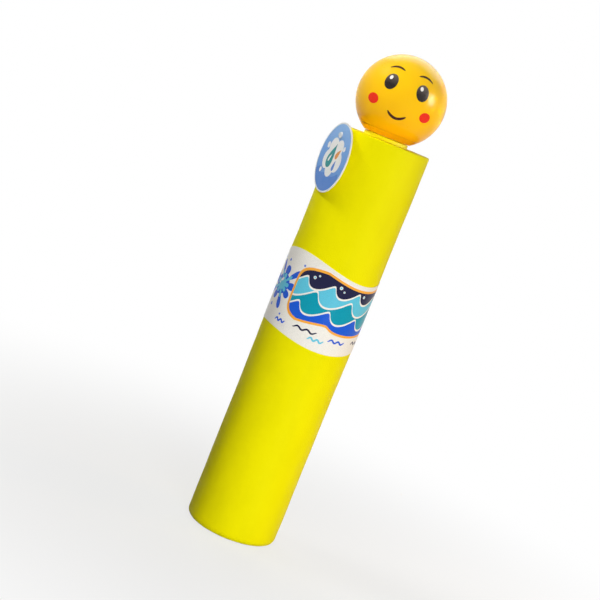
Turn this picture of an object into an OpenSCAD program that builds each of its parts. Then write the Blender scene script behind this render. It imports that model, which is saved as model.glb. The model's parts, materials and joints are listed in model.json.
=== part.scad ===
// Foam-sleeved piston water squirter with a ball handle.
// Millimetres. +Z runs along the squirter, from the nozzle end up to the ball handle.
// The origin is the centre of the foam's nozzle end, which is the face it stands on.
// The front, where the ball's face and the label look, is -Y.

/* [Foam sleeve] */
// Outside diameter of the foam sleeve
foam_d = 56; // [50:1:70]
// Length of the foam sleeve
foam_len = 250; // [225:1:320]
// Rounding of the sleeve's outer edge at the nozzle end
nose_round = 4; // [1:0.5:6]
// Rounding of the sleeve's outer edge at the handle end
rim_round = 1.2; // [0.4:0.2:3]
// Rounding of the sleeve's inner edge at the nozzle end
mouth_round = 1; // [0.4:0.2:2]

/* [Barrel] */
// Outside diameter of the barrel tube, which fills the sleeve's bore
barrel_d = 32; // [30:0.5:36]
// Wall of the barrel tube
barrel_wall = 1.6; // [1:0.1:2.2]

/* [Nozzle cap] */
// Diameter of the water orifice
orifice_d = 4.5; // [3:0.5:6]
// Outside diameter of the spout at its tip
spout_d = 9; // [8:0.5:12]
// How much wider the spout is at its root than at its tip
spout_taper = 3; // [1:0.5:5]
// Length of the spout in front of the nozzle flange
spout_len = 4.5; // [2:0.5:8]
// How far the spout's tip lies inside the foam's nozzle end
spout_inset = 1; // [0.5:0.5:4]
// Thickness of the flange that closes the barrel's nozzle end
nozzle_flange_t = 3; // [2:0.5:5]
// Length of the plug that fills the barrel's nozzle end
nozzle_plug_len = 8; // [6:0.5:12]
// Diameter of the funnel that leads the water to the orifice
funnel_d = 24; // [12:1:25]
// Depth of the funnel
funnel_h = 5.5; // [3:0.5:8]
// Number of stiffening ribs between the spout and the flange
rib_count = 4; // [3:1:8]
// Thickness of a rib
rib_t = 1.2; // [0.8:0.1:2]
// Room between a rib's outer end and the foam
rib_inset = 3; // [1:0.5:5]
// How far a rib stays behind the spout's tip
rib_drop = 1.5; // [0.5:0.1:1.9]

/* [Rear cap] */
// Diameter of the collar that shows between the foam and the ball
collar_d = 27; // [24:0.5:28]
// Height of the collar above the foam
collar_h = 2.2; // [1.6:0.2:8]
// Rounding of the collar's upper edge
collar_round = 0.8; // [0.2:0.1:1.2]
// Thickness of the flange that closes the barrel's handle end
rear_flange_t = 3; // [2:0.5:5]
// Length of the skirt that fills the barrel's handle end
rear_skirt_len = 11.5; // [8:0.5:20]
// Wall of the skirt
skirt_wall = 2; // [1.2:0.2:2.4]
// Wall of the guide tube that the rod runs in
guide_wall = 2.4; // [1.2:0.2:3]
// Diameter of the air vents beside the guide tube
vent_d = 2; // [1:0.2:2.4]
// Number of air vents
vent_count = 3; // [2:1:6]
// Number of screws that hold the cap in the barrel
cap_screw_count = 3; // [2:1:6]
// Diameter of the cap screws' shanks
cap_screw_d = 2.2; // [1.6:0.2:3]
// Diameter of the cap screws' countersunk heads
cap_screw_head_d = 4.2; // [3.6:0.2:5]
// Height of the cap screws' heads
cap_screw_head_h = 1; // [0.8:0.1:1.2]

/* [Plunger] */
// Outside diameter of the plunger's rod
rod_d = 12; // [10:0.5:14]
// Wall of the plunger's rod
rod_wall = 2; // [1.5:0.1:2.5]
// Length of the piston head
piston_len = 14; // [10:0.5:20]
// Bevel on the piston head's front edge
piston_bevel = 0.6; // [0.3:0.1:1.5]
// Thickness of the rubber seal ring
seal_t = 3.1; // [2:0.1:4]
// Length of the spigot that plugs the piston head into the rod
spigot_len = 18; // [12:1:30]
// Diameter of the cross pins that hold the rod's two ends
cross_pin_d = 3; // [2:0.5:4]

/* [Handle ball] */
// Diameter of the ball
ball_d = 53; // [48:1:66]
// Wall of the ball's two shells
ball_wall = 2; // [1.4:0.2:3]
// Diameter of the flat under the ball
ball_flat_d = 28; // [27:0.5:36]
// Height of the base's band that shows under the two shells
band_h = 3; // [2:0.5:5]
// Height of the base's spigot inside the two shells
base_spigot_h = 3; // [1:0.5:6]
// Depth of the base's socket for the rod
rod_socket = 17.6; // [14:0.4:24]
// Wall of the boss around the socket
boss_wall = 3; // [2:0.5:5]
// Roof over the socket
boss_roof = 2.4; // [1:0.2:4]
// Reach of the lip that lines up the two shells
lip_len = 1.5; // [1:0.1:3]
// Diameter of the pegs that line up the two shells
peg_d = 4; // [3:0.5:6]
// Reach of a peg into its socket
peg_len = 5; // [3:0.5:8]
// Wall of a peg's socket
peg_wall = 1.2; // [0.8:0.1:2]
// Distance of a peg from the ball's middle, sideways
peg_x = 13; // [10:0.5:15]
// Height of the pegs above the ball's middle
peg_rise = 9; // [4:0.5:12]

/* [Label] */
// Height of the printed label
label_h = 46; // [24:1:60]
// Height of the label's middle above the nozzle end
label_z = 149; // [120:1:160]
// Angle that the label wraps around the foam
label_span = 210; // [120:5:300]
// Thickness of the label's film
label_t = 0.25; // [0.15:0.05:0.5]
// How far the label's wavy edges rise and fall
label_wave = 3.5; // [0:0.5:5]

/* [Tag] */
// Diameter of the round card tag
tag_d = 42; // [30:1:50]
// Thickness of the card
tag_t = 0.6; // [0.4:0.1:1.2]
// Angle from the front to the tag, around to the left
tag_turn = 66; // [0:1:90]
// How far the tag's pin lies forward of the line where the card touches the foam
tag_shift = 4.4; // [0:0.2:8]
// Drop from the foam's handle end to the tag's pin
tag_drop = 6; // [5:0.5:30]
// Distance of the pin from the card's upper edge
tag_edge = 7.5; // [4:0.5:14]
// Diameter of the tag pin's shank
tag_pin_d = 1.4; // [1:0.1:2]
// Diameter of the tag pin's head
tag_head_d = 4; // [3:0.5:6]
// Height of the tag pin's head
tag_head_h = 1; // [0.6:0.1:1.6]
// Depth that the tag pin reaches into the foam
tag_pin_depth = 8; // [6:0.5:9]
// Diameter of the tag pin's barbs
barb_d = 2.8; // [2.2:0.1:4]
// Length of a barb
barb_h = 1.6; // [1:0.1:2]

/* [Clearances] */
// Radial room of a running fit
run_gap = 0.08; // [0.02:0.01:0.1]
// Room around the seal ring, at the bore and in its groove
seal_gap = 0.05; // [0.02:0.01:0.1]
// Radial room between the piston head and the barrel
piston_gap = 0.4; // [0.2:0.05:0.8]
// Gap under the ball when the plunger is pushed home
rest_gap = 0.2; // [0.1:0.05:0.5]
// Gap between the piston and a cap at either end of the stroke
stop_gap = 0.5; // [0.3:0.1:1]
// Gap at the ball's parting lines
seam_gap = 0.15; // [0.1:0.05:0.3]
// Gap between the card tag and what it turns against
tag_gap = 0.2; // [0.1:0.05:0.4]
// How far a pin or screw ends short of a surface that it must not break through
short_gap = 0.3; // [0.2:0.05:0.5]

/* [Hidden] */
$fn = 96;
slop = 0.01;

// Heights along the squirter
nozzle_face_z = spout_inset + spout_len;
barrel_z0 = nozzle_face_z + nozzle_flange_t;
barrel_z1 = foam_len - rear_flange_t;
nozzle_plug_z = barrel_z0 + nozzle_plug_len;
rear_skirt_z = barrel_z1 - rear_skirt_len;
collar_z = foam_len + collar_h;
piston_z0 = nozzle_plug_z + stop_gap;
piston_z1 = piston_z0 + piston_len;
stroke = rear_skirt_z - stop_gap - piston_z1;
echo(stroke = stroke);

// Radii
foam_r = foam_d / 2;
barrel_r = barrel_d / 2;
bore_r = barrel_r - barrel_wall;
piston_r = bore_r - piston_gap;
rod_r = rod_d / 2;
rod_bore_r = rod_r - rod_wall;
guide_bore_r = rod_r + run_gap;
guide_r = guide_bore_r + guide_wall;
skirt_bore_r = bore_r - skirt_wall;
collar_r = collar_d / 2;
vent_ring_r = (guide_r + min(skirt_bore_r, collar_r)) / 2;

// Cap screws, by their distances from the squirter's axis
cap_screw_z = rear_skirt_z + rear_skirt_len / 2;
cap_screw_face = sqrt(pow(barrel_r, 2) - pow(cap_screw_head_d / 2, 2));
cap_screw_neck = cap_screw_face - cap_screw_head_h;
cap_screw_tip = skirt_bore_r + short_gap;

// Seal ring and its groove
seal_r = seal_t / 2;
seal_ring_r = bore_r - seal_gap - seal_r;
groove_r = seal_ring_r - seal_r - seal_gap;
groove_w = seal_t + 2 * seal_gap;
seal_z = piston_z0 + piston_len / 2;

// Ball
ball_r = ball_d / 2;
ball_base_z = collar_z + rest_gap;
ball_z = ball_base_z + sqrt(pow(ball_r, 2) - pow(ball_flat_d / 2, 2));
band_z = ball_base_z + band_h;
shell_z = band_z + seam_gap;
shell_bore_r = ball_r - ball_wall;
lip_r = ball_r - ball_wall / 2;
// The base's spigot fills the round opening that the two shells leave at their foot
shell_mouth_r = sqrt(pow(shell_bore_r, 2) - pow(ball_z - shell_z, 2));
base_spigot_r = shell_mouth_r - 2 * seam_gap;
boss_r = rod_r + boss_wall;
rod_top_z = ball_base_z + rod_socket;
peg_socket_d = peg_d + 2 * peg_wall;

// Cross pins
piston_pin_z = piston_z1 + spigot_len / 2;
handle_pin_z = ball_base_z + rod_socket / 2;

// Label
label_steps = 84;
label_step = label_span / label_steps;
// The film's flat facets clear the round foam
label_r = foam_r / cos(label_step / 2);
// The ends are rounded like a superellipse of this power, which reaches a little past them
label_power = 12;
label_reach = 1.01 * label_span / 2;
// The lower edge's wave, against the upper one's: its share of the height and its turn
label_foot_share = 0.7;
label_foot_turn = 50;

// Tag
tag_head_z = tag_gap + tag_t + tag_gap;
tag_hole_d = tag_pin_d + 2 * run_gap;
barb_count = 2;
barb_step = 1.5 * barb_h;

// What a rounding takes off a profile that fills the quarter x > 0, y > 0
module corner_cut(r) {
    difference() {
        translate([-slop, -slop])
            square(r + slop);
        translate([r, r])
            circle(r);
    }
}

// A tube about Z
module tube(r_out, r_in, z0, z1) {
    translate([0, 0, z0])
        difference() {
            cylinder(r = r_out, h = z1 - z0);
            translate([0, 0, -slop])
                cylinder(r = r_in, h = z1 - z0 + 2 * slop);
        }
}

// A round pin along X through the squirter's axis
module cross_pin(length, z) {
    translate([0, 0, z])
        rotate([0, 90, 0])
            cylinder(d = cross_pin_d, h = length, center = true);
}

// The cap screws' own frames: +Z runs outwards from the squirter's axis
module at_cap_screws() {
    for (i = [0 : cap_screw_count - 1])
        rotate([0, 0, (i + 0.5) * 360 / cap_screw_count])
            translate([0, 0, cap_screw_z])
                rotate([0, 90, 0])
                    children();
}

// Shank and countersunk head of a cap screw, in its own frame
module cap_screw() {
    translate([0, 0, cap_screw_tip])
        cylinder(d = cap_screw_d, h = cap_screw_neck - cap_screw_tip + slop);
    translate([0, 0, cap_screw_neck])
        cylinder(d1 = cap_screw_d, d2 = cap_screw_head_d, h = cap_screw_head_h);
}

// The room that a cap screw takes up, out through the barrel's wall
module cap_screw_hole() {
    cap_screw();
    translate([0, 0, cap_screw_face - slop])
        cylinder(d = cap_screw_head_d, h = barrel_r - cap_screw_face + 2 * slop);
}

// The tag pin's own frame, in the plane that touches the foam: +Y up and +Z outwards
module at_tag_pin() {
    rotate([0, 0, -tag_turn])
        translate([tag_shift, -foam_r, foam_len - tag_drop])
            rotate([90, 0, 0])
                children();
}

// Thick-walled foam tube, with the tag pin pressed into its side
module foam_sleeve() {
    color("#E9DB06")
        difference() {
            rotate_extrude()
                difference() {
                    translate([barrel_r, 0])
                        square([foam_r - barrel_r, foam_len]);
                    translate([foam_r, 0])
                        mirror([1, 0])
                            corner_cut(nose_round);
                    translate([foam_r, foam_len])
                        rotate(180)
                            corner_cut(rim_round);
                    translate([barrel_r, 0])
                        corner_cut(mouth_round);
                }
            tag_pin_shape();
        }
}

// Rigid tube that the piston runs in
module barrel_tube() {
    color("#F2F1EC")
        difference() {
            tube(barrel_r, bore_r, barrel_z0, barrel_z1);
            at_cap_screws()
                cap_screw_hole();
        }
}

// Front closure: flange, plug, ribbed spout, orifice and funnel
module nozzle_cap() {
    rib_h = spout_len - rib_drop;
    rib_r = barrel_r - rib_inset;
    spout_root_d = spout_d + spout_taper;
    color("#F4F3EF")
        difference() {
            union() {
                translate([0, 0, nozzle_face_z])
                    cylinder(r = barrel_r, h = nozzle_flange_t);
                translate([0, 0, barrel_z0 - slop])
                    cylinder(r = bore_r, h = nozzle_plug_len + slop);
                translate([0, 0, spout_inset])
                    cylinder(d1 = spout_d, d2 = spout_root_d, h = spout_len + slop);
                for (i = [0 : rib_count - 1])
                    rotate([0, 0, (i + 0.5) * 360 / rib_count])
                        translate([orifice_d / 2, -rib_t / 2, nozzle_face_z - rib_h])
                            cube([rib_r - orifice_d / 2, rib_t, rib_h + slop]);
            }
            translate([0, 0, spout_inset - slop])
                cylinder(d = orifice_d, h = nozzle_plug_z - spout_inset + 2 * slop);
            translate([0, 0, nozzle_plug_z - funnel_h])
                cylinder(d1 = orifice_d, d2 = funnel_d, h = funnel_h + slop);
        }
}

// Rear closure: flange, skirt, visible collar, rod guide and air vents
module rear_cap() {
    color("#F3E41C")
        difference() {
            union() {
                translate([0, 0, barrel_z1])
                    cylinder(r = barrel_r, h = rear_flange_t);
                tube(bore_r, skirt_bore_r, rear_skirt_z, barrel_z1 + slop);
                translate([0, 0, rear_skirt_z])
                    cylinder(r = guide_r, h = rear_skirt_len + slop);
                rotate_extrude()
                    difference() {
                        translate([0, foam_len - slop])
                            square([collar_r, collar_h + slop]);
                        translate([collar_r, collar_z])
                            rotate(180)
                                corner_cut(collar_round);
                    }
            }
            translate([0, 0, rear_skirt_z - slop])
                cylinder(r = guide_bore_r, h = collar_z - rear_skirt_z + 2 * slop);
            for (i = [0 : vent_count - 1])
                rotate([0, 0, i * 360 / vent_count])
                    translate([vent_ring_r, 0, barrel_z1 - slop])
                        cylinder(d = vent_d, h = collar_z - barrel_z1 + 2 * slop);
            at_cap_screws()
                cap_screw_hole();
        }
}

// Screws through the barrel's wall into the rear cap's skirt
module rear_cap_screws() {
    color("#B4B6B8")
        at_cap_screws()
            cap_screw();
}

// How much of its full height the label keeps at an angle from the front
function label_share(a) = pow(1 - pow(abs(a) / label_reach, label_power), 1 / label_power);
function label_top(a) = label_z + label_h / 2 * label_share(a) - label_wave * sin(2 * a);
function label_foot(a) =
    label_z - label_h / 2 * label_share(a) - label_foot_share * label_wave * sin(2 * a + label_foot_turn);
function around(r, a, z) = [r * sin(a), -r * cos(a), z];
// The four corners of the film at one angle
function label_ring(a) = [
    around(label_r, a, label_foot(a)),
    around(label_r + label_t, a, label_foot(a)),
    around(label_r + label_t, a, label_top(a)),
    around(label_r, a, label_top(a))
];

// Printed film with wavy edges, wrapped around the front of the foam
module label_sticker() {
    points = [
        for (i = [0 : label_steps])
            for (p = label_ring(i * label_step - label_span / 2))
                p
    ];
    last = 4 * label_steps;
    sides = [
        for (i = [0 : label_steps - 1])
            for (k = [0 : 3])
                for (half = [0, 1])
                    let (a = 4 * i + k, b = 4 * i + (k + 1) % 4)
                        half == 0 ? [a, b, b + 4] : [a, b + 4, a + 4]
    ];
    ends = [[0, 3, 2], [0, 2, 1], [last, last + 1, last + 2], [last, last + 2, last + 3]];
    color("#E3E1DA")
        polyhedron(points = points, faces = concat(sides, ends));
}

// The tag pin in place: head, shank and the barbs that hold it in the foam
module tag_pin_shape() {
    at_tag_pin() {
        translate([0, 0, tag_head_z])
            cylinder(d1 = tag_head_d, d2 = tag_head_d - tag_head_h, h = tag_head_h);
        translate([0, 0, -tag_pin_depth])
            cylinder(d = tag_pin_d, h = tag_pin_depth + tag_head_z + slop);
        for (i = [0 : barb_count - 1])
            translate([0, 0, i * barb_step - tag_pin_depth])
                cylinder(d1 = tag_pin_d / 2, d2 = barb_d, h = barb_h);
    }
}

// Nylon pin that holds the card tag against the foam
module tag_pin() {
    color("#F6F6F2")
        tag_pin_shape();
}

// Round card tag that hangs on its pin
module tag_card() {
    color("#6B9EDB")
        at_tag_pin()
            difference() {
                translate([0, tag_edge - tag_d / 2, tag_gap])
                    cylinder(d = tag_d, h = tag_t);
                cylinder(d = tag_hole_d, h = tag_head_z);
            }
}

// Rubber ring that seals the piston in the barrel
module piston_seal() {
    color("#2A2A2C")
        translate([0, 0, seal_z])
            rotate_extrude()
                translate([seal_ring_r, 0])
                    circle(r = seal_r);
}

// Piston with its seal groove and the spigot that plugs into the rod
module piston_head() {
    color("#F1F0EB")
        difference() {
            union() {
                translate([0, 0, piston_z0])
                    cylinder(r1 = piston_r - piston_bevel, r2 = piston_r, h = piston_bevel);
                translate([0, 0, piston_z0 + piston_bevel - slop])
                    cylinder(r = piston_r, h = piston_len - piston_bevel + slop);
                translate([0, 0, piston_z1 - slop])
                    cylinder(r = rod_bore_r, h = spigot_len + slop);
            }
            tube(piston_r + slop, groove_r, seal_z - groove_w / 2, seal_z + groove_w / 2);
            cross_pin(rod_d, piston_pin_z);
        }
}

// Hollow rod between the piston and the ball
module piston_rod() {
    color("#F7F6F2")
        difference() {
            tube(rod_r, rod_bore_r, piston_z1, rod_top_z);
            cross_pin(2 * rod_d, piston_pin_z);
            cross_pin(2 * rod_d, handle_pin_z);
        }
}

// Pin that holds the piston head in the rod
module piston_cross_pin() {
    color("#B9BBBD")
        cross_pin(rod_d - 2 * short_gap, piston_pin_z);
}

// Pin that holds the rod in the ball's base
module handle_cross_pin() {
    color("#B9BBBD")
        cross_pin(2 * (boss_r - short_gap), handle_pin_z);
}

// The ball's foot: the band that shows, the spigot that carries the shells and the rod's socket
module ball_base() {
    color("#F8B008")
        difference() {
            union() {
                intersection() {
                    ball_at(ball_r);
                    translate([0, 0, ball_base_z])
                        cylinder(r = ball_r, h = band_h);
                }
                translate([0, 0, band_z - slop])
                    cylinder(r = base_spigot_r, h = base_spigot_h + slop);
                translate([0, 0, band_z - slop])
                    cylinder(r = boss_r, h = rod_top_z + boss_roof - band_z + slop);
            }
            translate([0, 0, ball_base_z - slop])
                cylinder(r = rod_r, h = rod_socket + slop);
            cross_pin(3 * boss_r, handle_pin_z);
        }
}

// All that lies above the ball's base, in front of (-1) or behind (+1) the plane y = at
module half_space(side, at) {
    translate([-ball_d, side > 0 ? at : at - ball_d, shell_z])
        cube([2 * ball_d, ball_d, 2 * ball_d]);
}

// A whole ball at the ball's place
module ball_at(r) {
    translate([0, 0, ball_z])
        sphere(r = r);
}

// A hollow ball at the ball's place
module ball_hollow(r_out, r_in) {
    difference() {
        ball_at(r_out);
        ball_at(r_in);
    }
}

// Cylinders along Y at the pegs' places, from y0 to y1
module at_pegs(d, y0, y1) {
    for (x = [-peg_x, peg_x])
        translate([x, y0, ball_z + peg_rise])
            rotate([-90, 0, 0])
                cylinder(d = d, h = y1 - y0);
}

// Front half of the ball, rebated inside its edge, with sockets for the pegs
module ball_front_shell() {
    color("#FFC60A")
        difference() {
            union() {
                intersection() {
                    ball_hollow(ball_r, shell_bore_r);
                    half_space(-1, 0);
                }
                intersection() {
                    ball_at(lip_r);
                    at_pegs(peg_socket_d, -ball_r, 0);
                }
            }
            intersection() {
                ball_at(lip_r + seam_gap / 2);
                difference() {
                    half_space(1, -lip_len - seam_gap);
                    at_pegs(peg_socket_d, -ball_r, slop);
                }
            }
            at_pegs(peg_d + 2 * seam_gap, -peg_len - 2 * seam_gap, slop);
        }
}

// Back half of the ball, with the lip and the pegs that enter the front half
module ball_back_shell() {
    color("#FFC60A") {
        intersection() {
            ball_hollow(ball_r, shell_bore_r);
            half_space(1, 0);
        }
        intersection() {
            ball_hollow(lip_r, shell_bore_r);
            half_space(1, -lip_len);
            half_space(-1, slop);
        }
        intersection() {
            ball_at(lip_r);
            union() {
                at_pegs(peg_socket_d, 0, ball_r);
                at_pegs(peg_d, -peg_len, slop);
            }
        }
    }
}

foam_sleeve();
barrel_tube();
nozzle_cap();
rear_cap();
rear_cap_screws();
label_sticker();
tag_pin();
tag_card();
piston_seal();
piston_head();
piston_rod();
piston_cross_pin();
ball_base();
handle_cross_pin();
ball_front_shell();
ball_back_shell();
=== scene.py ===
"""A foam water squirter with a ball handle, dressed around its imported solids.

The frame is in metres, with +Z along the squirter and its front at -Y.
Sizes and places in this script are millimetres, and angles are degrees.
"""
import json
import math

import bmesh
import bpy
import numpy as np
from mathutils import Matrix, Vector, geometry, noise


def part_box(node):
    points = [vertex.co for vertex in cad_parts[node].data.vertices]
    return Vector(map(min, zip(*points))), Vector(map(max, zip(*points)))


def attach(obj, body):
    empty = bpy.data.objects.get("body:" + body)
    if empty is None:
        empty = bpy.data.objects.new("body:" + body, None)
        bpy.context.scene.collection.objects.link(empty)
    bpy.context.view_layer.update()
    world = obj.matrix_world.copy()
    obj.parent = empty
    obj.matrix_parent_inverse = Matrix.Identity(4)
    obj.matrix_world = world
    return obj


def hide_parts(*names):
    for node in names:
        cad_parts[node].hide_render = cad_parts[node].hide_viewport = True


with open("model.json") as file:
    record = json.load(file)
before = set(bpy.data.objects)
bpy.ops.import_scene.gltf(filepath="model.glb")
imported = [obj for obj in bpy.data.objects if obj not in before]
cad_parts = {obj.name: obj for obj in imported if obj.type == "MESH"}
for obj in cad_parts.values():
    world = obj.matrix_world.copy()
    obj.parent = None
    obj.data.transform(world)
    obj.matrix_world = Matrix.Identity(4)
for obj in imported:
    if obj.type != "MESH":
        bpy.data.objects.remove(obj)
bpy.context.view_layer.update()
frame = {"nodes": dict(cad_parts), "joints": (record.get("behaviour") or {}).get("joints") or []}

MM = 0.001
UP = np.array([0.0, 0.0, 1.0])
WELD = 0.001
SHARP = 35.0


def node_box(node):
    """A node's lowest and highest corners."""
    return [np.array(corner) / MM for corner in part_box(node)]


def srgb(red, green, blue):
    """A linear colour from the 0 to 255 values that it shows on a screen."""
    shares = np.array([red, green, blue]) / 255
    low = shares / 12.92
    high = ((shares + 0.055) / 1.055) ** 2.4
    return tuple(float(v) for v in np.where(shares <= 0.04045, low, high))


# Foam sleeve
FOAM_R, _, FOAM_LEN = node_box("foam_sleeve")[1]
BORE_GAP = 0.02
BORE_R = node_box("barrel_tube")[1][0] + BORE_GAP
NOSE_ROUND = 4.0
RIM_ROUND = 1.2
MOUTH_ROUND = 1.0
FOAM_STEPS = 192
FOAM_RING = 2.0
SKIN_DEPTH = 0.5
DENT = 0.3
DENT_SIZES = (34.0, 12.0)
DENT_FADE = 8.0
CUT_ROUGH = 0.12
CUT_SIZE = 5.0

# Label
LABEL_Z = 149.0
LABEL_H = 46.0
LABEL_SPAN = 210.0
LABEL_T = 0.25
LABEL_LIFT = 0.01
LABEL_WAVE = 3.5
LABEL_FOOT_SHARE = 0.7
LABEL_FOOT_TURN = 50.0
LABEL_POWER = 12
LABEL_REACH = 1.01
LABEL_STEPS = 168
LABEL_GRID = 1.25

# Tag
TAG_GAP = 0.2
TAG_T = 0.6
TAG_HOLE_R = 0.78
TAG_BORDER = 0.9
TAG_TRIM = 0.06
TAG_GRID = 2.5
tag_joint = next(j for j in frame["joints"] if j["name"] == "tag_swing")
TAG_PIN = np.array(tag_joint["pos_m"]) / MM
TAG_OUT = np.array(tag_joint["axis"])
TAG_RIGHT = np.cross(UP, TAG_OUT)
tag_low, tag_high = node_box("tag_card")
TAG_R = (tag_high[2] - tag_low[2]) / 2
TAG_Y = (tag_high[2] + tag_low[2]) / 2 - TAG_PIN[2]

# Prints run on past the label and the tag, which cut them off
BEYOND_X = 75.0
BEYOND_Y = 40.0

# Ball
ball_low, ball_high = node_box("ball_back_shell")
BALL_R = ball_high[0]
BALL_Z = ball_high[2] - BALL_R
SHELL_Z = ball_low[2]
SHELL_WALL = 2.0
SEAM = 0.06
SEAM_ROUND = 0.35
BALL_STEPS = 160

# Printed face, with places as azimuth and elevation on the ball
EYE_AT = (22, 17)
BROW_AT = (24, 36)
BROW_TILT = 8.0
CHEEK_AT = (37, -10)
SMILE_AT = (0, -20)
INK_T = 0.05
INK_ROOT = 0.03
INK_GRID = 0.9

# Floor, which is white where it is seen away from the squirter
FLOOR_R = 6000.0
FLOOR_DROP = 0.2
FLOOR_FADE = (50.0, 400.0)
FLOOR_WHITE = (0.72, 1.0)
FLOOR_DARK = srgb(140, 140, 138)
FLOOR_PALE = srgb(236, 236, 234)

# Light from the world
AMBIENT = 0.08

# Camera, fitted to the photograph's frame of 600 pixels
FRAME_PX = 600
CAMERA_TARGET = (-11.64, 0.0, 144.68)
CAMERA_DISTANCE = 850.0
CAMERA_ELEVATION = 8.0
CAMERA_ROLL = 21.77
CAMERA_FOCUS_PX = 1436.8
CAMERA_NEAR = 10.0
SENSOR = 36.0


def shade(colour, share):
    """A colour made darker or lighter."""
    return tuple(min(1.0, v * share) for v in colour)


def add_node(tree, kind, sockets=None, **settings):
    """A new node, whose sockets take values or other nodes' outputs."""
    node = tree.nodes.new(kind)
    for key, value in settings.items():
        setattr(node, key, value)
    for key, value in (sockets or {}).items():
        if isinstance(value, bpy.types.NodeSocket):
            tree.links.new(value, node.inputs[key])
        else:
            node.inputs[key].default_value = value
    return node


class Look:
    """A Principled material put together from small steps, in the piece's own space."""

    def __init__(self, name, colour, roughness, sockets=None):
        self.material = bpy.data.materials.new(name)
        self.material.use_nodes = True
        self.tree = self.material.node_tree
        self.shader = self.tree.nodes["Principled BSDF"]
        self.shader.inputs["Base Color"].default_value = (*colour, 1)
        self.shader.inputs["Roughness"].default_value = roughness
        for socket, value in (sockets or {}).items():
            self.shader.inputs[socket].default_value = value
        self.place = self.add("ShaderNodeTexCoord").outputs["Object"]
        self.normal = None

    def add(self, kind, sockets=None, **settings):
        """A new node in this material."""
        return add_node(self.tree, kind, sockets, **settings)

    def noise(self, size, detail=2.0, stretch=(1, 1, 1)):
        """Soft noise with features of about this size, drawn out by the stretch along each axis."""
        scale = [1 / s for s in stretch]
        place = self.add("ShaderNodeMapping", {"Vector": self.place, "Scale": scale}).outputs["Vector"]
        sockets = {"Vector": place, "Scale": 1 / (size * MM), "Detail": detail}
        return self.add("ShaderNodeTexNoise", sockets).outputs["Fac"]

    def cells(self, size):
        """Distance from the middles of rounded cells of about this size."""
        sockets = {"Vector": self.place, "Scale": 1 / (size * MM)}
        return self.add("ShaderNodeTexVoronoi", sockets).outputs["Distance"]

    def remap(self, value, low, high, from_low=0.3, from_high=0.7):
        """A value brought from one range to another."""
        sockets = {"Value": value, "From Min": from_low, "From Max": from_high}
        return self.add("ShaderNodeMapRange", {**sockets, "To Min": low, "To Max": high}).outputs["Result"]

    def height(self, low, high):
        """How far up between two heights, from 0 to 1."""
        z = self.add("ShaderNodeSeparateXYZ", {"Vector": self.place}).outputs["Z"]
        return self.remap(z, 0, 1, low * MM, high * MM)

    def mottled(self, value, size, detail, share):
        """A value that a noise lifts and lowers by up to a share."""
        mottle = self.remap(self.noise(size, detail), -share, share)
        return self.add("ShaderNodeMath", {0: value, 1: mottle}).outputs["Value"]

    def colours(self, value, *stops):
        """The base colour along a value: each stop is a position and a colour."""
        ramp = self.add("ShaderNodeValToRGB", {"Fac": value})
        elements = ramp.color_ramp.elements
        elements[0].position = stops[0][0]
        elements[-1].position = stops[-1][0]
        for position, _ in stops[1:-1]:
            elements.new(position)
        for element, (_, colour) in zip(elements, stops):
            element.color = (*colour, 1)
        self.tree.links.new(ramp.outputs["Color"], self.shader.inputs["Base Color"])

    def rough(self, value, low, high):
        """Roughness that varies with a noise."""
        self.tree.links.new(self.remap(value, low, high), self.shader.inputs["Roughness"])

    def bump(self, height, depth):
        """Relief of this depth, added to the relief so far."""
        sockets = {"Height": height, "Distance": depth * MM}
        if self.normal is not None:
            sockets["Normal"] = self.normal
        self.normal = self.add("ShaderNodeBump", sockets).outputs["Normal"]
        self.tree.links.new(self.normal, self.shader.inputs["Normal"])


def foam_look(name, colour, cell, relief):
    """Closed-cell foam: fine cells, a soft unevenness and a faint lengthwise mottle."""
    look = Look(name, colour, 0.55, {"Specular IOR Level": 0.08})
    mottle = look.noise(14.0, 3.0, (1, 1, 2.5))
    look.colours(mottle, (0.3, shade(colour, 0.97)), (0.5, colour), (0.7, shade(colour, 1.02)))
    look.rough(look.noise(9.0), 0.48, 0.62)
    look.bump(look.noise(6.0, 3.0), 0.12 * relief)
    look.bump(look.cells(cell), 0.10 * relief)
    return look.material


def plastic_look(name, colour, roughness):
    """Moulded plastic: a faint flow of tone, fine grain and uneven gloss."""
    look = Look(name, colour, roughness)
    look.colours(look.noise(14.0, 3.0), (0.3, shade(colour, 0.95)), (0.7, shade(colour, 1.04)))
    look.rough(look.noise(3.0, 4.0), 0.85 * roughness, 1.2 * roughness)
    look.bump(look.noise(0.9, 3.0), 0.02)
    return look.material


def tube_look(name, colour, roughness):
    """Extruded plastic: fine lines along its length."""
    look = Look(name, colour, roughness)
    lines = look.noise(0.8, 3.0, (1, 1, 60))
    look.colours(lines, (0.25, shade(colour, 0.92)), (0.75, shade(colour, 1.03)))
    look.rough(lines, 0.8 * roughness, 1.3 * roughness)
    look.bump(lines, 0.02)
    return look.material


def ball_look(name):
    """Glossy amber shell, a little deeper in tone towards its foot as painted shade."""
    amber = srgb(255, 192, 6)
    sockets = {
        "Specular IOR Level": 0.07,
        "Coat Weight": 0.2,
        "Coat Roughness": 0.12,
        "Subsurface Weight": 0.12,
        "Subsurface Radius": (1.0, 0.4, 0.05),
        "Subsurface Scale": 3 * MM,
    }
    look = Look(name, amber, 0.32, sockets)
    tone = look.mottled(look.height(BALL_Z - BALL_R, BALL_Z + BALL_R), 11.0, 3.0, 0.06)
    # Painted shade: deeper orange towards the ball's foot, paler amber towards its top.
    look.colours(tone, (0.0, srgb(255, 172, 10)), (0.35, amber), (1.0, srgb(255, 204, 6)))
    look.rough(look.noise(2.5, 4.0), 0.27, 0.38)
    look.bump(look.noise(5.0), 0.015)
    return look.material


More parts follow.
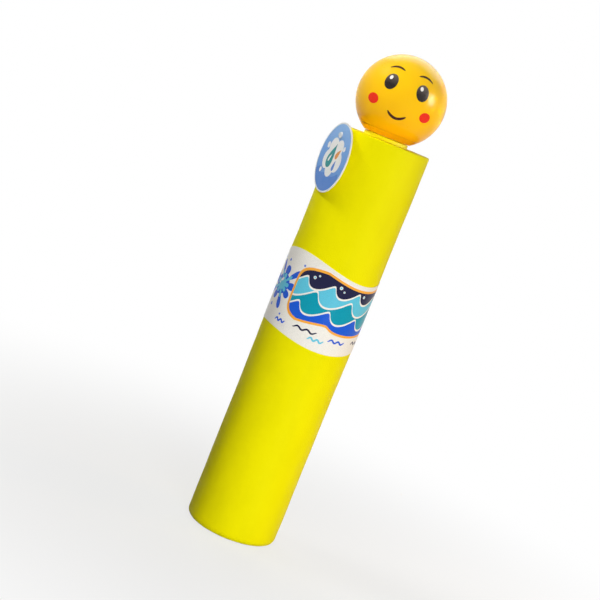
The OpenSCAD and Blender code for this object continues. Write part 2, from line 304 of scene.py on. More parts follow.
def ink_look(name, colour, roughness=0.34, coat=0.12):
    """Printing ink under a clear film, with a fine dot grain and a slight mottle."""
    sockets = {"Specular IOR Level": 0.15, "Coat Weight": coat, "Coat Roughness": 0.12}
    look = Look(name, colour, roughness, sockets)
    grain = look.noise(0.45, 2.0)
    look.colours(grain, (0.3, shade(colour, 0.92)), (0.5, colour), (0.7, shade(colour, 1.07)))
    look.rough(look.noise(6.0, 3.0), 0.85 * roughness, 1.2 * roughness)
    look.bump(look.noise(7.0, 2.0), 0.04)
    return look.material


def sky_look(name, low, high):
    """Printed blue that pales towards the card's top, with a fine dot grain."""
    look = Look(name, low, 0.45, {"Specular IOR Level": 0.15, "Coat Weight": 0.1, "Coat Roughness": 0.12})
    middle = TAG_PIN[2] + TAG_Y
    tone = look.mottled(look.height(middle - TAG_R, middle + TAG_R), 0.45, 2.0, 0.15)
    look.colours(tone, (0.1, shade(low, 0.9)), (0.55, low), (1.0, high))
    look.rough(look.noise(6.0, 3.0), 0.38, 0.54)
    look.bump(look.noise(7.0, 2.0), 0.04)
    return look.material


def eye_painted_sheen_look(name):
    """Near-black ink with a painted sheen: it pales to a warm grey at its upper edge."""
    sockets = {"Specular IOR Level": 0.2, "Coat Weight": 0.2, "Coat Roughness": 0.1}
    look = Look(name, srgb(30, 20, 18), 0.3, sockets)
    # Painted sheen: the eye's ink pales to warm grey towards its top.
    rise = look.height(BALL_Z + 3, BALL_Z + 16)
    look.colours(rise, (0.25, srgb(24, 14, 12)), (0.8, srgb(104, 92, 84)))
    look.rough(look.noise(2.0, 3.0), 0.26, 0.36)
    return look.material


def card_look(name):
    """Uncoated card with fibres."""
    white = srgb(236, 233, 226)
    look = Look(name, white, 0.8, {"Specular IOR Level": 0.2})
    fibres = look.noise(0.5, 4.0, (1, 1, 5))
    look.colours(fibres, (0.3, shade(white, 0.88)), (0.7, white))
    look.bump(fibres, 0.03)
    return look.material


def steel_look(name):
    """Bright steel with fine turning marks."""
    grey = srgb(190, 192, 194)
    look = Look(name, grey, 0.3, {"Metallic": 1.0})
    marks = look.noise(0.3, 3.0, (12, 1, 1))
    look.colours(marks, (0.3, shade(grey, 0.8)), (0.7, grey))
    look.rough(marks, 0.22, 0.42)
    return look.material


def rubber_look(name):
    """Dark rubber with a matt bloom."""
    black = srgb(34, 34, 36)
    look = Look(name, black, 0.6)
    bloom = look.noise(2.0, 4.0)
    look.colours(bloom, (0.3, shade(black, 0.8)), (0.7, shade(black, 1.5)))
    look.rough(bloom, 0.5, 0.75)
    look.bump(look.noise(0.4, 2.0), 0.02)
    return look.material


def nylon_look(name):
    """Clear nylon with a slight haze."""
    clear = srgb(240, 242, 240)
    look = Look(name, clear, 0.25, {"Transmission Weight": 0.35, "IOR": 1.45})
    look.colours(look.noise(1.5, 3.0), (0.3, shade(clear, 0.9)), (0.7, clear))
    look.rough(look.noise(0.8, 3.0), 0.12, 0.3)
    return look.material


def link_object(name, data):
    """A new object in the scene."""
    thing = bpy.data.objects.new(name, data)
    bpy.context.scene.collection.objects.link(thing)
    return thing


def show(name, mesh, materials, inks=None):
    """A mesh as an object, smooth up to its sharp edges; inks gives each face's material."""
    for material in materials:
        mesh.materials.append(material)
    if inks is not None:
        mesh.polygons.foreach_set("material_index", [int(i) for i in inks])
    mesh.polygons.foreach_set("use_smooth", [True] * len(mesh.polygons))
    mesh.set_sharp_from_angle(angle=math.radians(SHARP))
    mesh.update()
    return link_object(name, mesh)


def make_piece(name, points, faces, materials, inks):
    """A new object from points in millimetres."""
    mesh = bpy.data.meshes.new(name)
    mesh.from_pydata([tuple(p) for p in np.asarray(points) * MM], [], [tuple(f) for f in faces])
    return show(name, mesh, materials, inks)


def arc(centre, radius, start, end, steps):
    """Points on an arc, as rows of two numbers."""
    angles = np.radians(np.linspace(start, end, steps + 1))
    return np.asarray(centre) + radius * np.stack([np.cos(angles), np.sin(angles)], 1)


def line(start, end, step):
    """Points on a straight line, about a step apart."""
    count = max(1, round(math.dist(start, end) / step))
    return np.linspace(start, end, count + 1)


def outline_of(*runs):
    """One outline from several runs of points, without the points that they share."""
    points = np.concatenate(runs)
    apart = np.linalg.norm(points - np.roll(points, 1, axis=0), axis=1) > WELD
    return points[apart]


def foam_profile():
    """The sleeve's closed outline, as (radius, height), anticlockwise from the nose."""
    nose = arc((FOAM_R - NOSE_ROUND, NOSE_ROUND), NOSE_ROUND, -90, 0, 10)
    side = line((FOAM_R, NOSE_ROUND), (FOAM_R, FOAM_LEN - RIM_ROUND), FOAM_RING)
    rim = arc((FOAM_R - RIM_ROUND, FOAM_LEN - RIM_ROUND), RIM_ROUND, 0, 90, 5)
    top = line((FOAM_R - RIM_ROUND, FOAM_LEN), (BORE_R, FOAM_LEN), FOAM_RING)
    bore = line((BORE_R, FOAM_LEN), (BORE_R, MOUTH_ROUND), 12 * FOAM_RING)
    mouth = arc((BORE_R + MOUTH_ROUND, MOUTH_ROUND), MOUTH_ROUND, 180, 270, 5)
    foot = line((BORE_R + MOUTH_ROUND, 0), (FOAM_R - NOSE_ROUND, 0), FOAM_RING)
    return outline_of(nose, side, rim, top, bore, mouth, foot)


def dent(point):
    """How deep the foam's skin is pressed in at a point, away from the label."""
    broad, fine = (noise.noise(Vector(point) / size) for size in DENT_SIZES)
    depth = DENT * min(1.0, max(0.0, 0.5 + 0.7 * (broad + 0.5 * fine)))
    angle = math.degrees(math.atan2(point[0], -point[1]))
    beside = max(abs(angle) - LABEL_SPAN / 2, 0) / DENT_FADE
    above = max(abs(point[2] - LABEL_Z) - LABEL_H / 2 - LABEL_WAVE, 0) / DENT_FADE
    return depth * min(1.0, beside + above)


def foam_points(profile):
    """The profile turned about the axis, with a dented skin and uneven cut ends."""
    turns = np.radians(np.arange(FOAM_STEPS) * 360 / FOAM_STEPS)
    points = np.array([(r * math.sin(a), -r * math.cos(a), z) for a in turns for r, z in profile])
    for point in points:
        radius = math.hypot(point[0], point[1])
        if radius > FOAM_R - SKIN_DEPTH:
            point[:2] *= 1 - dent(point) / radius
        elif radius > BORE_R + MOUTH_ROUND:
            inward = 1 if point[2] < FOAM_LEN / 2 else -1
            point[2] += inward * CUT_ROUGH * (1 + noise.noise(Vector(point) / CUT_SIZE))
    return points


def foam_faces(profile):
    """The faces between the turned profiles, and which of them are cut foam without a skin."""
    rings = len(profile)
    faces = []
    cut = []
    for i in range(FOAM_STEPS):
        here = i * rings
        there = (i + 1) % FOAM_STEPS * rings
        for k in range(rings):
            after = (k + 1) % rings
            faces.append((here + k, there + k, there + after, here + after))
            flat = abs(profile[k][1] - profile[after][1]) < WELD
            in_bore = max(profile[k][0], profile[after][0]) < BORE_R + MOUTH_ROUND + WELD
            cut.append(flat or in_bore)
    return faces, cut


def make_foam():
    """The thick foam tube, slightly uneven as foam is."""
    profile = foam_profile()
    faces, cut = foam_faces(profile)
    yellow = srgb(233, 223, 2)
    skin = foam_look("foam_skin", yellow, 0.7, 1.0)
    inner = foam_look("foam_cut", shade(yellow, 0.97), 0.9, 2.5)
    piece = make_piece("foam_tube", foam_points(profile), faces, [skin, inner], cut)
    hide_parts("foam_sleeve")
    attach(piece, "barrel")


def inside(points, ring):
    """Which points lie inside a closed ring."""
    x = points[:, 0:1]
    y = points[:, 1:2]
    after = np.roll(ring, -1, axis=0)
    crosses = (ring[:, 1] > y) != (after[:, 1] > y)
    rise = np.where(ring[:, 1] == after[:, 1], 1.0, after[:, 1] - ring[:, 1])
    at = ring[:, 0] + (y - ring[:, 1]) / rise * (after[:, 0] - ring[:, 0])
    return (crosses & (x < at)).sum(1) % 2 == 1


def ring_edges(rings):
    """The edges of closed rings whose points are numbered one ring after another."""
    edges = []
    first = 0
    for ring in rings:
        edges += [(first + i, first + (i + 1) % len(ring)) for i in range(len(ring))]
        first += len(ring)
    return edges


def triangulate(outline, rings, spacing, hole):
    """Flat points and triangles within an outline, with edges along every ring."""
    low = outline.min(0)
    high = outline.max(0)
    columns = np.arange(low[0], high[0], spacing)
    rows = np.arange(low[1], high[1], spacing)
    grid = np.array([(x, y) for x in columns for y in rows])
    grid = grid[inside(grid, outline)]
    flat = [Vector(p) for p in np.concatenate([*rings, grid])]
    found = geometry.delaunay_2d_cdt(flat, ring_edges(rings), [], 0, 1e-5)
    corners = np.array([tuple(v) for v in found[0]])
    triangles = np.array([tuple(f) for f in found[2]])
    middles = corners[triangles].mean(1)
    kept = inside(middles, outline)
    if hole is not None:
        kept &= ~inside(middles, hole)
    used, numbers = np.unique(triangles[kept], return_inverse=True)
    return corners[used], numbers.reshape(-1, 3)


def inks_at(points, prints):
    """The ink at each flat point: a later print covers an earlier one."""
    inks = np.zeros(len(points), int)
    for ink, within in prints:
        covered = np.ones(len(points), bool)
        for ring in within:
            covered &= inside(points, ring)
        inks[covered] = ink
    return inks


def film(outline, prints, spacing, place, depths, hole=None, back=0):
    """A thin closed sheet with printed shapes, as points, faces and each face's ink.

    Each print is an ink and the rings that it lies within.
    The place function takes flat points and a depth to points in space.
    """
    rings = [outline] + [ring for _, within in prints for ring in within]
    if hole is not None:
        rings.append(hole)
    corners, triangles = triangulate(outline, rings, spacing, hole)
    inks = inks_at(corners[triangles].mean(1), prints)
    count = len(corners)
    points = np.concatenate([place(corners, depths[1]), place(corners, depths[0])])
    directed = {(int(t[i]), int(t[(i + 1) % 3])) for t in triangles for i in range(3)}
    walls = [(a + count, b + count, b, a) for a, b in sorted(directed) if (b, a) not in directed]
    lower = [tuple(t[::-1] + count) for t in triangles]
    faces = [tuple(t) for t in triangles] + lower + walls
    return points, faces, [*inks, *[back] * (len(lower) + len(walls))]


def turned(points, tilt):
    """Flat points turned anticlockwise."""
    c = math.cos(math.radians(tilt))
    s = math.sin(math.radians(tilt))
    return points @ np.array([[c, s], [-s, c]])


def ellipse(centre, width, height, tilt=0.0, steps=48):
    """A closed ring of the given half-width and half-height."""
    angles = np.radians(np.arange(steps) * 360 / steps)
    return turned(np.stack([width * np.cos(angles), height * np.sin(angles)], 1), tilt) + centre


def panel(centre, width, height, power=5, steps=96):
    """A closed ring of the given half-width and half-height with rounded corners."""
    angles = np.radians(np.arange(steps) * 360 / steps)
    c = np.cos(angles)
    s = np.sin(angles)
    away = (np.abs(c) ** power + np.abs(s) ** power) ** (-1 / power)
    return np.stack([width * away * c, height * away * s], 1) + centre


def drop(centre, width, height, tilt, steps=40):
    """A closed ring like a water drop, with its point upwards before it is tilted."""
    angles = np.radians((np.arange(steps) + 0.5) * 360 / steps)
    across = width * np.sin(angles) * np.sin(angles / 2) ** 1.6 * 1.25
    along = height * np.cos(angles)
    return turned(np.stack([-across, along], 1), tilt) + centre


def polar(centre, away, heading):
    """The point at a distance from a centre, in a direction."""
    a = math.radians(heading)
    return np.array(centre) + (away * math.cos(a), away * math.sin(a))


def stroke(path, width, blunt=4):
    """A closed ring around a path, widest in its middle and rounded at its ends."""
    along = np.gradient(path, axis=0)
    along /= np.linalg.norm(along, axis=1)[:, None]
    across = np.stack([-along[:, 1], along[:, 0]], 1)
    share = np.linspace(-0.99, 0.99, len(path))
    half = (width / 2 * np.sqrt(1 - np.abs(share) ** blunt))[:, None]
    return np.concatenate([path - across * half, (path + across * half)[::-1]])


def wave_line(level, height, length, start, lean=0.5, peak=0.45):
    """A row of leaning, peaked waves that runs past both ends of the print."""
    pace = length / (2 * math.pi)
    turns = np.arange(-BEYOND_X / pace, BEYOND_X / pace, 0.2)
    x = start + pace * (turns - peak * np.sin(turns) + lean * np.cos(turns))
    return np.stack([x, level + height * np.cos(turns)], 1)


def under(path, lift=0.0):
    """A ring of all that lies under a path, or under the path lifted a little."""
    edge = path + (0, lift)
    return np.concatenate([[(edge[0, 0], -BEYOND_Y)], [(edge[-1, 0], -BEYOND_Y)], edge[::-1]])


def over(path, lift=0.0):
    """A ring of all that lies over a path, or over the path lifted a little."""
    edge = path + (0, lift)
    return np.concatenate([edge, [(edge[-1, 0], BEYOND_Y)], [(edge[0, 0], BEYOND_Y)]])


def dot(ink, centre, radius, within=()):
    """The print of a round dot, cut off by any rings that it lies within."""
    return ink, [*within, ellipse(centre, radius, radius)]


def splash(ink, centre, radius, arms, size=1.0):
    """Prints of a splash: a round body, and arms by heading, reach and width that end in blobs."""
    prints = [(ink, [ellipse(centre, size * radius, 0.9 * size * radius, 20)])]
    for heading, reach, width in arms:
        half = size * (reach - 0.3 * radius) / 2
        middle = polar(centre, size * reach - half, heading)
        prints.append((ink, [drop(middle, size * width, half, heading + 90)]))
    return prints


def label_ring(inset):
    """The label's outline, or a line inside it by an inset, as arc length and height."""
    half = LABEL_SPAN / 2 - math.degrees(inset / FOAM_R)
    angles = np.linspace(-half, half, LABEL_STEPS + 1)
    share = (1 - (np.abs(angles) / (LABEL_REACH * half)) ** LABEL_POWER) ** (1 / LABEL_POWER)
    rise = (LABEL_H / 2 - inset) * share
    top = rise - LABEL_WAVE * np.sin(np.radians(2 * angles))
    foot = -rise - LABEL_FOOT_SHARE * LABEL_WAVE * np.sin(np.radians(2 * angles + LABEL_FOOT_TURN))
    around = np.radians(angles) * FOAM_R
    return np.concatenate([np.stack([around, foot], 1), np.stack([around, top], 1)[::-1]])


WHITE, ORANGE, NAVY, PALE, TEAL, BLUE, SKY = range(7)


def label_looks():
    """The label's inks, in the order of their numbers."""
    return [
        ink_look("film_white", srgb(234, 230, 221)),
        ink_look("ink_orange", srgb(240, 166, 58)),
        ink_look("ink_navy", srgb(22, 22, 58)),
        ink_look("ink_pale", srgb(196, 220, 240)),
        ink_look("ink_teal", srgb(0, 146, 168)),
        ink_look("ink_blue", srgb(22, 86, 205)),
        ink_look("ink_sky", srgb(92, 190, 214)),
    ]


def label_splash():
    """A splash in two blues with a shine on it, and small drops around it."""
    middle = (-30, 3)
    radius = 7.0
    arms = [
        (4, 12.0, 2.6), (41, 17.0, 2.0), (84, 11.5, 3.0), (119, 15.5, 1.9), (170, 12.5, 3.2),
        (208, 17.0, 2.1), (244, 11.0, 2.8), (288, 15.0, 2.0), (327, 11.0, 2.5),
    ]
    prints = splash(BLUE, middle, radius, arms) + splash(SKY, middle, radius, arms, 0.56)
    prints += [(WHITE, [ellipse((-31.6, 5.2), 1.8, 0.9, 35)]), dot(WHITE, (-33.4, 3.0), 0.6)]
    for i, (heading, reach, _) in enumerate(arms[1:8]):
        spot = polar(middle, reach + 3.2, heading + 9)
        bead = 0.7 + 0.2 * (i % 3)
        prints += [dot(BLUE, spot, bead), dot(PALE, spot + (-0.2, 0.3), 0.4 * bead)]
    return prints


def label_waves():
    """Rows of waves in a rounded field with an orange edge, and bubbles above them."""
    middle = (22, 3.5)
    edge = 1.4
    sand = wave_line(-11.5, 1.4, 36, 4)
    field = [label_ring(2.6), over(sand), panel(middle, 40 + edge, 16 + edge)]
    inner = [label_ring(2.6 + edge), over(sand, edge), panel(middle, 40, 16)]
    prints = [(ORANGE, field), (NAVY, inner)]
    rows = [(10.5, 2.9, 17, 3.0, SKY), (3.6, 3.6, 22, -6.0, TEAL), (-4.6, 3.0, 19, 5.0, BLUE)]
    for level, height, length, start, ink in rows:
        crest = wave_line(level, height, length, start)
        prints += [(WHITE, [*inner, under(crest, 1.1)]), (ink, [*inner, under(crest)])]
    bubbles = [
        (-8.4, 14.8, 0.9), (-6.0, 16.6, 0.6), (8.0, 14.6, 1.0),
        (10.6, 12.8, 0.6), (25.4, 13.2, 0.9), (42.0, 14.2, 1.0),
    ]
    for x, y, radius in bubbles:
        prints += [dot(WHITE, (x, y), radius, inner), dot(SKY, (x, y), 0.6 * radius, inner)]
    return prints


def label_ripples():
    """Short ripples under the field, by place, length and ink."""
    ripples = [
        (-20, -16.4, 8, BLUE), (-3, -15.5, 15, NAVY), (18, -16.5, 12, BLUE),
        (5, -19.0, 10, SKY), (36, -15.2, 11, NAVY),
    ]
    t = np.linspace(-1, 1, 40)
    prints = []
    for x, y, length, ink in ripples:
        path = np.stack([x + length / 2 * t, y + 0.7 * np.sin(2.5 * math.pi * t)], 1)
        prints.append((ink, [stroke(path, 1.1)]))
    return prints


def make_label():
    """The printed film around the sleeve."""

    def place(flat, depth):
        angle = flat[:, 0] / FOAM_R
        radius = FOAM_R + depth
        return np.stack([radius * np.sin(angle), -radius * np.cos(angle), LABEL_Z + flat[:, 1]], 1)

    prints = label_splash() + label_waves() + label_ripples()
    points, faces, inks = film(label_ring(0), prints, LABEL_GRID, place, (LABEL_LIFT, LABEL_T))
    piece = make_piece("label_film", points, faces, label_looks(), inks)
    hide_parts("label_sticker")
    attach(piece, "barrel")


CARD, TAG_BLUE, TAG_DEEP, TAG_WHITE, TAG_TEAL, TAG_ORANGE = range(6)


def tag_looks():
    """The card and the tag's inks, in the order of their numbers."""
    return [
        card_look("card"),
        sky_look("tag_blue", srgb(110, 160, 222), srgb(142, 184, 230)),
        ink_look("tag_deep", srgb(84, 134, 208), 0.45, 0.1),
        ink_look("tag_white", srgb(238, 238, 234), 0.45, 0.1),
        ink_look("tag_teal", srgb(34, 140, 140), 0.45, 0.1),
        ink_look("tag_orange", srgb(226, 150, 70), 0.45, 0.1),
    ]


def tag_prints(middle):
    """A blue field with a swell at its foot, and drops on a cloud of bubbles."""
    rim = ellipse(middle, TAG_R - TAG_TRIM, TAG_R - TAG_TRIM, steps=96)
    field = ellipse(middle, TAG_R - TAG_BORDER, TAG_R - TAG_BORDER, steps=96)
    swell = wave_line(0, 1.6, 14, 0) + (0, TAG_Y - 9)
    bubbles = [
        (0, 0, 8.2), (-7.0, -2.0, 5.8), (7.2, -1.8, 6.1), (-3.8, 5.5, 5.9), (4.5, 5.8, 5.4),
        (0.8, -6.0, 5.6), (-11.8, 5.8, 1.9), (11.5, 6.8, 1.5), (-10.8, -9.2, 1.5),
    ]
    return [
        (TAG_WHITE, [rim]),
        (TAG_BLUE, [field]),
        (TAG_DEEP, [field, under(swell)]),
        *[dot(TAG_WHITE, middle + (x, y), radius) for x, y, radius in bubbles],
        (TAG_TEAL, [drop(middle + (-2.5, 1.0), 4.8, 7.8, -18)]),
        (TAG_WHITE, [drop(middle + (-3.8, -0.5), 1.1, 2.8, -30)]),
        (TAG_ORANGE, [drop(middle + (5.5, 3.0), 2.3, 3.9, -40)]),
        (TAG_DEEP, [drop(middle + (5.2, -4.0), 1.9, 3.4, -10)]),
    ]


def make_tag():
    """The round card, printed on its outer side, that hangs on its pin."""

    def place(flat, depth):
        return TAG_PIN + np.outer(flat[:, 0], TAG_RIGHT) + np.outer(flat[:, 1], UP) + depth * TAG_OUT

    middle = np.array([0, TAG_Y])
    outline = ellipse(middle, TAG_R, TAG_R, steps=128)
    hole = ellipse((0, 0), TAG_HOLE_R, TAG_HOLE_R, steps=24)
    depths = (TAG_GAP, TAG_GAP + TAG_T)
    points, faces, inks = film(outline, tag_prints(middle), TAG_GRID, place, depths, hole, CARD)
    piece = make_piece("tag_round", points, faces, tag_looks(), inks)
    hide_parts("tag_card")
    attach(piece, "tag")


def shell_profile():
    """Half of the ball's wall, as distance from the Y axis and depth, with a rounded parting edge."""
    edge = SEAM + SEAM_ROUND
    bore = BALL_R - SHELL_WALL
    outer = arc((0, 0), BALL_R, 270, 360 - math.degrees(math.asin(edge / BALL_R)), 60)
    rounding = arc((BALL_R - SEAM_ROUND, -edge), SEAM_ROUND, 0, 90, 4)
    inner = arc((0, 0), bore, 360 - math.degrees(math.asin(SEAM / bore)), 270, 30)
    return np.concatenate([outer[:-1], rounding, inner])


def shell_mesh(name, side):
    """One half of the hollow ball, cut off level above its base."""
    mesh = bmesh.new()
    path = [mesh.verts.new((r * MM, side * -y * MM, 0)) for r, y in shell_profile()]
    edges = [mesh.edges.new(pair) for pair in zip(path, path[1:])]
    turn = {"cent": (0, 0, 0), "axis": (0, 1, 0), "angle": 2 * math.pi, "steps": BALL_STEPS}
    bmesh.ops.spin(mesh, geom=path + edges, use_merge=True, **turn)
    bmesh.ops.remove_doubles(mesh, verts=mesh.verts, dist=WELD * MM)
    bmesh.ops.translate(mesh, verts=mesh.verts, vec=(0, 0, BALL_Z * MM))
    everything = mesh.verts[:] + mesh.edges[:] + mesh.faces[:]
    level = {"plane_co": (0, 0, SHELL_Z * MM), "plane_no": (0, 0, -1)}
    cut = bmesh.ops.bisect_plane(mesh, geom=everything, clear_outer=True, **level)
    rim = [e for e in cut["geom_cut"] if isinstance(e, bmesh.types.BMEdge)]
    bmesh.ops.edgenet_fill(mesh, edges=rim)
    bmesh.ops.recalc_face_normals(mesh, faces=mesh.faces)
    data = bpy.data.meshes.new(name)
    mesh.to_mesh(data)
    mesh.free()
    return data


def make_shell(name, node, side, look):
    """One half of the ball, in front or behind by its side's sign."""
    piece = show(name, shell_mesh(name, side), [look])
    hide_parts(node)
    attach(piece, "plunger")


def on_ball(azimuth, elevation):
    """A function that lays flat points on the ball around a place on its front."""
    a = math.radians(azimuth)
    e = math.radians(elevation)
    middle = np.array([math.sin(a) * math.cos(e), -math.cos(a) * math.cos(e), math.sin(e)])
    east = np.array([math.cos(a), math.sin(a), 0])
    north = np.cross(middle, east)

    def place(flat, depth):
        away = np.linalg.norm(flat, axis=1)
        turn = (away / BALL_R)[:, None]
        heading = np.outer(flat[:, 0], east) + np.outer(flat[:, 1], north)
        heading /= np.maximum(away, 1e-9)[:, None]
        return BALL_Z * UP + (BALL_R + depth) * (middle * np.cos(turn) + heading * np.sin(turn))

    return place


FACE_LINE, FACE_EYE, FACE_GLINT, FACE_RED = range(4)


def face_looks():
    """The face's inks, in the order of their numbers."""
    return [
        ink_look("face_line", srgb(66, 30, 16), 0.3),
        eye_painted_sheen_look("face_eye_sheen"),
        ink_look("face_glint", srgb(244, 240, 232), 0.3),
        ink_look("face_red", srgb(236, 44, 22), 0.3),
    ]


def face_parts():
    """Eyes, brows, cheeks and a smile: each is a place, an outline and its prints."""
    t = np.linspace(-1, 1, 33)
    brow = np.stack([4.6 * t, 1.5 * (1 - t ** 2)], 1)
    smile = np.stack([5.6 * t, 2.6 * t ** 2 - 1.8], 1)
    eye = ellipse((0, 0), 3.9, 4.9)
    glint = ellipse((-1.1, 2.2), 1.0, 1.3)
    cheek = ellipse((0, 0), 3.7, 3.0)
    parts = []
    for side in (-1, 1):
        eye_at, brow_at, cheek_at = (on_ball(side * a, e) for a, e in (EYE_AT, BROW_AT, CHEEK_AT))
        brow_ring = stroke(turned(brow, -side * BROW_TILT), 1.5, 2)
        parts.append((eye_at, eye, [(FACE_EYE, [eye]), (FACE_GLINT, [glint])]))
        parts.append((brow_at, brow_ring, [(FACE_LINE, [])]))
        parts.append((cheek_at, cheek, [(FACE_RED, [])]))
    parts.append((on_ball(*SMILE_AT), stroke(smile, 1.6), [(FACE_LINE, [])]))
    return parts


def make_face():
    """A plain printed doll's face, its inks laid on the ball's front shell."""
    points = []
    faces = []
    inks = []
    for place, outline, prints in face_parts():
        ink = prints[0][0]
        part = film(outline, prints, INK_GRID, place, (-INK_ROOT, INK_T), back=ink)
        faces += [tuple(len(points) + i for i in face) for face in part[1]]
        points += list(part[0])
        inks += part[2]
    piece = make_piece("ball_face", points, faces, face_looks(), inks)
    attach(piece, "plunger")


def dress_nodes(ball):
    """Materials for the solids that show as they are."""
    steel = steel_look("steel")
    looks = {
        "barrel_tube": tube_look("barrel_tube", srgb(242, 240, 234), 0.4),
        "nozzle_cap": plastic_look("nozzle", srgb(243, 242, 236), 0.42),
        # The collar's yellow is painted lighter than the foam's yellow: painted light where the ball
        # shades the collar.
        "rear_cap": plastic_look("collar", srgb(246, 236, 8), 0.5),
        "rear_cap_screws": steel,
        "tag_pin": nylon_look("nylon"),
        "piston_seal": rubber_look("rubber"),
        "piston_head": plastic_look("piston", srgb(240, 238, 232), 0.4),
        "piston_rod": tube_look("rod", srgb(246, 245, 240), 0.34),
        "piston_cross_pin": steel,
        "ball_base": ball,
        "handle_cross_pin": steel,
    }
    for node, look in looks.items():
        frame["nodes"][node].material_slots[0].material = look


def seen_directly(tree):
    """1 for rays from the camera, a mirror or glass, and 0 for the light that falls on things."""
    path = add_node(tree, "ShaderNodeLightPath")
    seen = path.outputs["Is Camera Ray"]
    for ray in ("Is Glossy Ray", "Is Transmission Ray"):
        either = add_node(tree, "ShaderNodeMath", {0: seen, 1: path.outputs[ray]}, operation="MAXIMUM")
        seen = either.outputs["Value"]
    return seen


def floor_white(tree, seen):
    """How white the floor shows: more so away from the squirter, and only where it is seen."""
    place = add_node(tree, "ShaderNodeTexCoord").outputs["Object"]
    away = add_node(tree, "ShaderNodeVectorMath", {0: place}, operation="LENGTH").outputs["Value"]
    near, far = (radius * MM for radius in FLOOR_FADE)
    low, high = FLOOR_WHITE
    sockets = {"Value": away, "From Min": near, "From Max": far, "To Min": low, "To Max": high}
    fade = add_node(tree, "ShaderNodeMapRange", sockets, interpolation_type="SMOOTHSTEP")
    share = add_node(tree, "ShaderNodeMath", {0: fade.outputs["Result"], 1: seen}, operation="MULTIPLY")
    return share.outputs["Value"]


def floor_look(name):
    """A pale floor that keeps its shadow, and throws back less light than it shows."""
    material = bpy.data.materials.new(name)
    material.use_nodes = True
    tree = material.node_tree
    tree.nodes.clear()
    seen = seen_directly(tree)
    tones = {"Factor": seen, "A": (*FLOOR_DARK, 1), "B": (*FLOOR_PALE, 1)}
    tone = add_node(tree, "ShaderNodeMix", tones, data_type="RGBA")
    lit = add_node(tree, "ShaderNodeBsdfDiffuse", {"Color": tone.outputs["Result"]})
    white = add_node(tree, "ShaderNodeEmission")
    layers = {"Fac": floor_white(tree, seen), 1: lit.outputs["BSDF"], 2: white.outputs["Emission"]}
    mix = add_node(tree, "ShaderNodeMixShader", layers)
    add_node(tree, "ShaderNodeOutputMaterial", {"Surface": mix.outputs["Shader"]})
    return material


def make_floor():
    """A wide round floor just under the squirter."""
    mesh = bmesh.new()
    bmesh.ops.create_circle(mesh, cap_ends=True, segments=96, radius=FLOOR_R * MM)
    data = bpy.data.meshes.new("floor")
    mesh.to_mesh(data)
    mesh.free()
    data.materials.append(floor_look("floor"))
    floor = link_object("floor", data)
    floor.location.z = -FLOOR_DROP * MM


def make_world():
    """White where it is seen, and a soft even light where it falls on things."""
    world = bpy.data.worlds.new("studio")
    bpy.context.scene.world = world
    world.use_nodes = True
    tree = world.node_tree
    tree.nodes.clear()
    white = (1, 1, 1, 1)
    light = add_node(tree, "ShaderNodeBackground", {"Color": white, "Strength": AMBIENT})
    shown = add_node(tree, "ShaderNodeBackground", {"Color": white})
    layers = {"Fac": seen_directly(tree), 1: light.outputs["Background"], 2: shown.outputs["Background"]}
    mix = add_node(tree, "ShaderNodeMixShader", layers)
    add_node(tree, "ShaderNodeOutputWorld", {"Surface": mix.outputs["Shader"]})


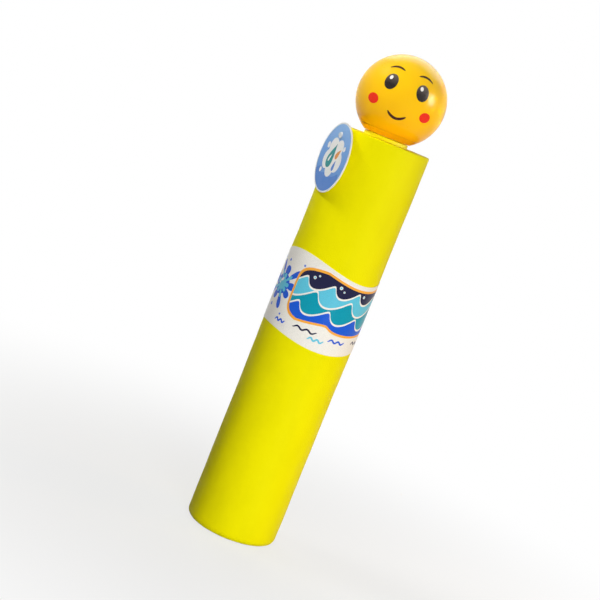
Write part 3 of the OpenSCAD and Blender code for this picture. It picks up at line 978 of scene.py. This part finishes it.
def softbox(
    name, direction, distance, size, level, aim_z,
    colour=(1, 1, 1), spread=180, gloss=False, diffuse=True, aside=0,
):
    """An area lamp aimed at a height on the squirter's axis, or past the axis to its right.

    The direction is an azimuth, 0 in front and 90 on the right, and an elevation.
    At level 1 a card that faces the lamp shows its own colour, or less where the spread is narrow.
    """
    a, e = np.radians(direction)
    out = Vector((math.sin(a) * math.cos(e), -math.cos(a) * math.cos(e), math.sin(e)))
    right = Vector((math.cos(a), math.sin(a), 0))
    data = bpy.data.lights.new(name, "AREA")
    data.shape = "RECTANGLE"
    data.size = size[0] * MM
    data.size_y = size[1] * MM
    data.color = colour
    data.spread = math.radians(spread)
    half = data.spread / 2
    gathered = 1 if spread == 180 else math.tan(half) / (math.tan(half) - half)
    data.energy = level * (math.pi * distance * MM) ** 2 / gathered
    lamp = link_object(name, data)
    lamp.location = (Vector((0, 0, aim_z)) + out * distance + right * aside) * MM
    lamp.rotation_euler = out.to_track_quat("Z", "Y").to_euler()
    lamp.visible_camera = False
    lamp.visible_glossy = gloss
    lamp.visible_diffuse = diffuse


def make_lights():
    """Soft light from the front right, fills on the left and behind, and a narrow beam for the ball.

    The beam passes beside the pulled-out rod. The lamps high and spot give only highlights.
    """
    softbox("main", (14, 5), 1600, (700, 380), 0.78, 170)
    softbox("low", (28, 0), 450, (160, 100), 0.24, 65, spread=110)
    softbox("left", (-90, 42), 450, (220, 160), 1.9, 255, spread=34)
    softbox("rim", (104, 2), 500, (120, 150), 0.36, 90, (1.0, 0.62, 0.25), spread=90)
    softbox("high", (172, 47), 600, (700, 420), 0.6, 270, gloss=True, diffuse=False)
    softbox("back", (-150, 12), 900, (400, 300), 0.3, 150)
    softbox("behind", (175, 8), 1200, (500, 300), 0.35, 120)
    softbox("ball_side", (32, 8), 500, (18, 44), 1.6, 281, spread=4.4, aside=19)
    softbox("spot", (78, 22), 500, (200, 200), 2.0, 285, spread=30, gloss=True, diffuse=False)


def make_camera():
    """The photograph's view, rolled as the photograph is."""
    e = math.radians(CAMERA_ELEVATION)
    roll = math.radians(CAMERA_ROLL)
    back = Vector((0, -math.cos(e), math.sin(e)))
    right = Vector((1, 0, 0))
    up = back.cross(right)
    across = right * math.cos(roll) + up * math.sin(roll)
    rise = up * math.cos(roll) - right * math.sin(roll)
    data = bpy.data.cameras.new("camera")
    data.sensor_width = SENSOR
    data.lens = CAMERA_FOCUS_PX * SENSOR / FRAME_PX
    data.clip_start = CAMERA_NEAR * MM
    camera = link_object("camera", data)
    turn = Matrix((across, rise, back)).transposed()
    place = (Vector(CAMERA_TARGET) + back * CAMERA_DISTANCE) * MM
    camera.matrix_world = Matrix.Translation(place) @ turn.to_4x4()
    bpy.context.scene.camera = camera


make_camera()
make_foam()
make_label()
make_tag()
ball = ball_look("ball")
make_shell("ball_front", "ball_front_shell", -1, ball)
make_shell("ball_back", "ball_back_shell", 1, ball)
make_face()
dress_nodes(ball)
make_floor()
make_world()
make_lights()
bpy.context.scene.view_settings.view_transform = "Standard"
